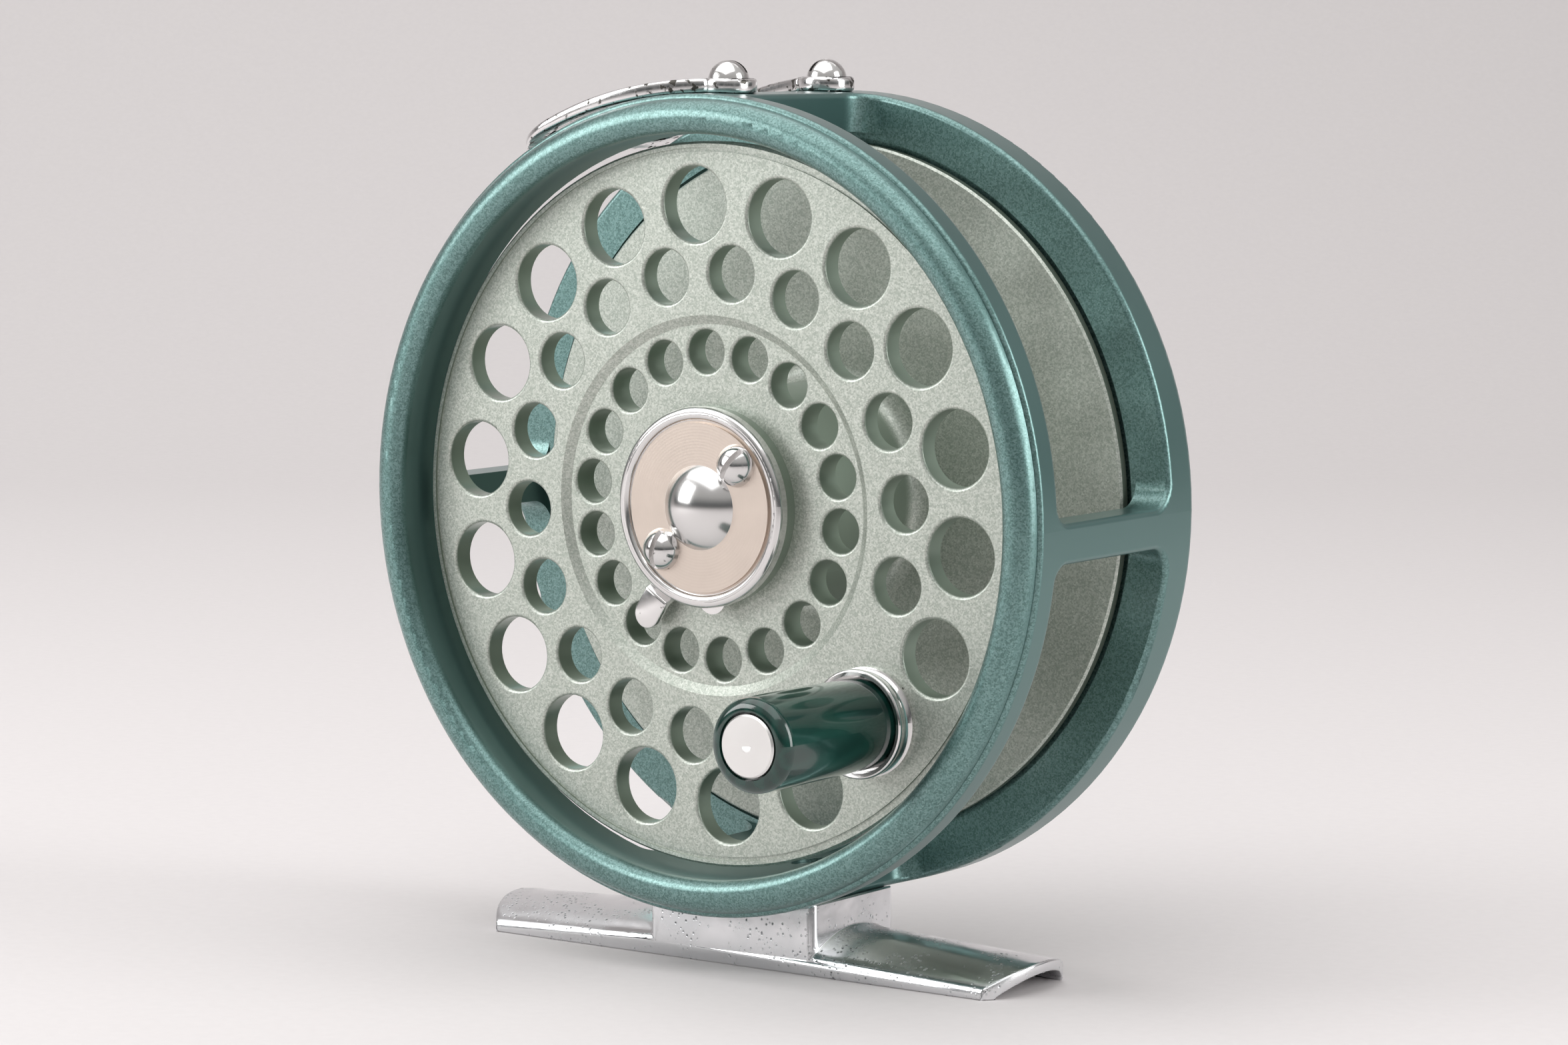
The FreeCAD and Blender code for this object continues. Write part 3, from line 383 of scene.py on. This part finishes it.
# %% Give every node its finish
finishes = {
    cage_enamel: ["frame_cage", "regulator_knob"],
    spool_enamel: ["spool"],
    chrome: ["line_guard", "guard_screws", "cover_screws", "latch_lever", "handle_cup"],
    cover_finish: ["latch_cover"],
    foot_plate: ["foot"],
    handle_plastic: ["handle_knob"],
    pin_steel: ["handle_pin"],
    steel: ["spindle", "spindle_nut", "foot_screws", "ratchet_wheel", "ratchet_screws", "pawl_stud",
            "spring_seat", "seat_screws", "regulator_cam", "regulator_screw", "handle_nut"],
    blued_steel: ["check_spring", "latch_spring"],
    bronze: ["hub_bush", "click_pawl"],
}
for finish, names in finishes.items():
    for name in names:
        data = nodes[name].data
        data.materials.clear()
        data.materials.append(finish)
        print(finish.name, "->", name)

# %% [markdown]
# ## The studio
# The reel stands on a sheet of pale paper that sweeps up behind it. The floor is level under
# the foot, and far behind the reel it curves up into a wall.

# %% Build the paper sweep
bpy.ops.object.select_all(action="DESELECT")
floor_near, sweep_start, sweep_radius, wall_top, half_width = -1.2, 0.55, 0.5, 2.2, 2.5
sweep_points = [(floor_near, 0.0), (sweep_start, 0.0)]
sweep_steps = 16
for step in range(1, sweep_steps + 1):
    turn = math.radians(90 * step / sweep_steps)
    sweep_points.append((sweep_start + sweep_radius * math.sin(turn), sweep_radius * (1 - math.cos(turn))))
sweep_points.append((sweep_start + sweep_radius, wall_top))
camera_turn = math.radians(35.91)
along = Vector((-math.sin(camera_turn), math.cos(camera_turn), 0))
across = Vector((math.cos(camera_turn), math.sin(camera_turn), 0))
corners = []
faces = []
for distance, height in sweep_points:
    for side in (-half_width, half_width):
        corners.append(along * distance + across * side + Vector((0, 0, height)))
for row in range(len(sweep_points) - 1):
    faces.append((2 * row, 2 * row + 1, 2 * row + 3, 2 * row + 2))
paper_mesh = bpy.data.meshes.new("paper_sweep")
paper_mesh.from_pydata(corners, [], faces)
paper = bpy.data.objects.new("paper_sweep", paper_mesh)
bpy.context.collection.objects.link(paper)
paper_mesh.shade_smooth()

paper_finish, tree, shader, place = new_finish("warm_grey_paper", Roughness=0.9)
fibres = add(tree, "ShaderNodeTexNoise", {"Vector": place, "Scale": 1 / (1.5 * mm), "Detail": 6.0})
tone = add(tree, "ShaderNodeMix",
           {MIX: fibres.outputs["Fac"], FIRST: linear("d4d0d0"), SECOND: linear("dad6d6")}, data_type="RGBA")
tree.links.new(tone.outputs[MIXED], shader.inputs["Base Color"])
paper_mesh.materials.append(paper_finish)
print("paper:", len(paper_mesh.polygons), "faces")

# %% [markdown]
# ## Light
# A small soft box stands to the left, a broad one hangs above, a weak one fills from the right,
# and the last one washes the wall. The room is pale, with a dark band just above eye level, so
# that the chrome has something to show.

# %% Hang the lights
def soft_light(name, place, target, size, power, spread=180, colour="ffffff"):
    """A rectangular soft box that faces its target; its spread, in degrees, narrows the beam."""
    lamp = bpy.data.lights.new(name, "AREA")
    lamp.shape = "RECTANGLE"
    lamp.size, lamp.size_y = size
    lamp.energy = power
    lamp.spread = math.radians(spread)
    lamp.color = linear(colour)[:3]
    holder = bpy.data.objects.new(name, lamp)
    holder.location = place
    holder.rotation_euler = (Vector(target) - Vector(place)).to_track_quat("-Z", "Y").to_euler()
    bpy.context.collection.objects.link(holder)
    return holder


soft_light("key_left", Vector((-0.42, -0.42, 0.28)), hub, (0.34, 0.34), 1.8)
soft_light("fill_right", Vector((0.62, 0.14, 0.26)), hub, (0.3, 0.5), 0.8, spread=100)
soft_light("top", Vector((-0.10, -0.20, 0.95)), hub, (1.5, 1.1), 6.8)
soft_light("wall_wash", Vector((-0.30, 0.45, 0.9)), Vector((-0.4, 1.0, 0.2)), (1.2, 0.4), 1.0)

world = bpy.data.worlds.new("pale_room")
world.use_nodes = True
bpy.context.scene.world = world
room = world.node_tree
toward = add(room, "ShaderNodeTexCoord").outputs["Generated"]
height = add(room, "ShaderNodeSeparateXYZ", {"Vector": toward}).outputs["Z"]
level = add(room, "ShaderNodeMapRange", {"Value": height, "From Min": -1.0, "From Max": 1.0})
sky = add(room, "ShaderNodeValToRGB", {"Fac": level.outputs[0]})
bands = sky.color_ramp
bands.elements[0].position = 0.38
bands.elements[0].color = linear("f4f0ee")
bands.elements[1].position = 0.95
bands.elements[1].color = linear("f6f4f3")
bands.elements.new(0.485).color = linear("b9b6b4")
bands.elements.new(0.505).color = linear("3f4241")
bands.elements.new(0.55).color = linear("66696a")
bands.elements.new(0.68).color = linear("d4d2d0")
room.links.new(sky.outputs[0], room.nodes["Background"].inputs["Color"])
room.nodes["Background"].inputs["Strength"].default_value = 0.70

# %% [markdown]
# ## Camera
# The camera stands to the front and right of the reel, just above it, about half a metre away,
# with a long lens.

# %% Place the camera
camera_rise = math.radians(5.98)
camera_distance = 517.4 * mm
aim_right, aim_behind_face, aim_below_axis = 9.9 * mm, 0.96 * mm, 1.19 * mm
aim = Vector((aim_right, spool_low.y + aim_behind_face, axis_height - aim_below_axis))
back = Vector((math.sin(camera_turn) * math.cos(camera_rise), -math.cos(camera_turn) * math.cos(camera_rise),
               math.sin(camera_rise)))
camera_data = bpy.data.cameras.new("camera")
camera_data.sensor_width = 36.0
camera_data.lens = 109.85
camera = bpy.data.objects.new("camera", camera_data)
camera.location = aim + back * camera_distance
camera.rotation_euler = back.to_track_quat("Z", "Y").to_euler()
bpy.context.collection.objects.link(camera)
bpy.context.scene.camera = camera
bpy.context.scene.view_settings.view_transform = "Standard"
print("camera at mm:", [round(c / mm) for c in camera.location])
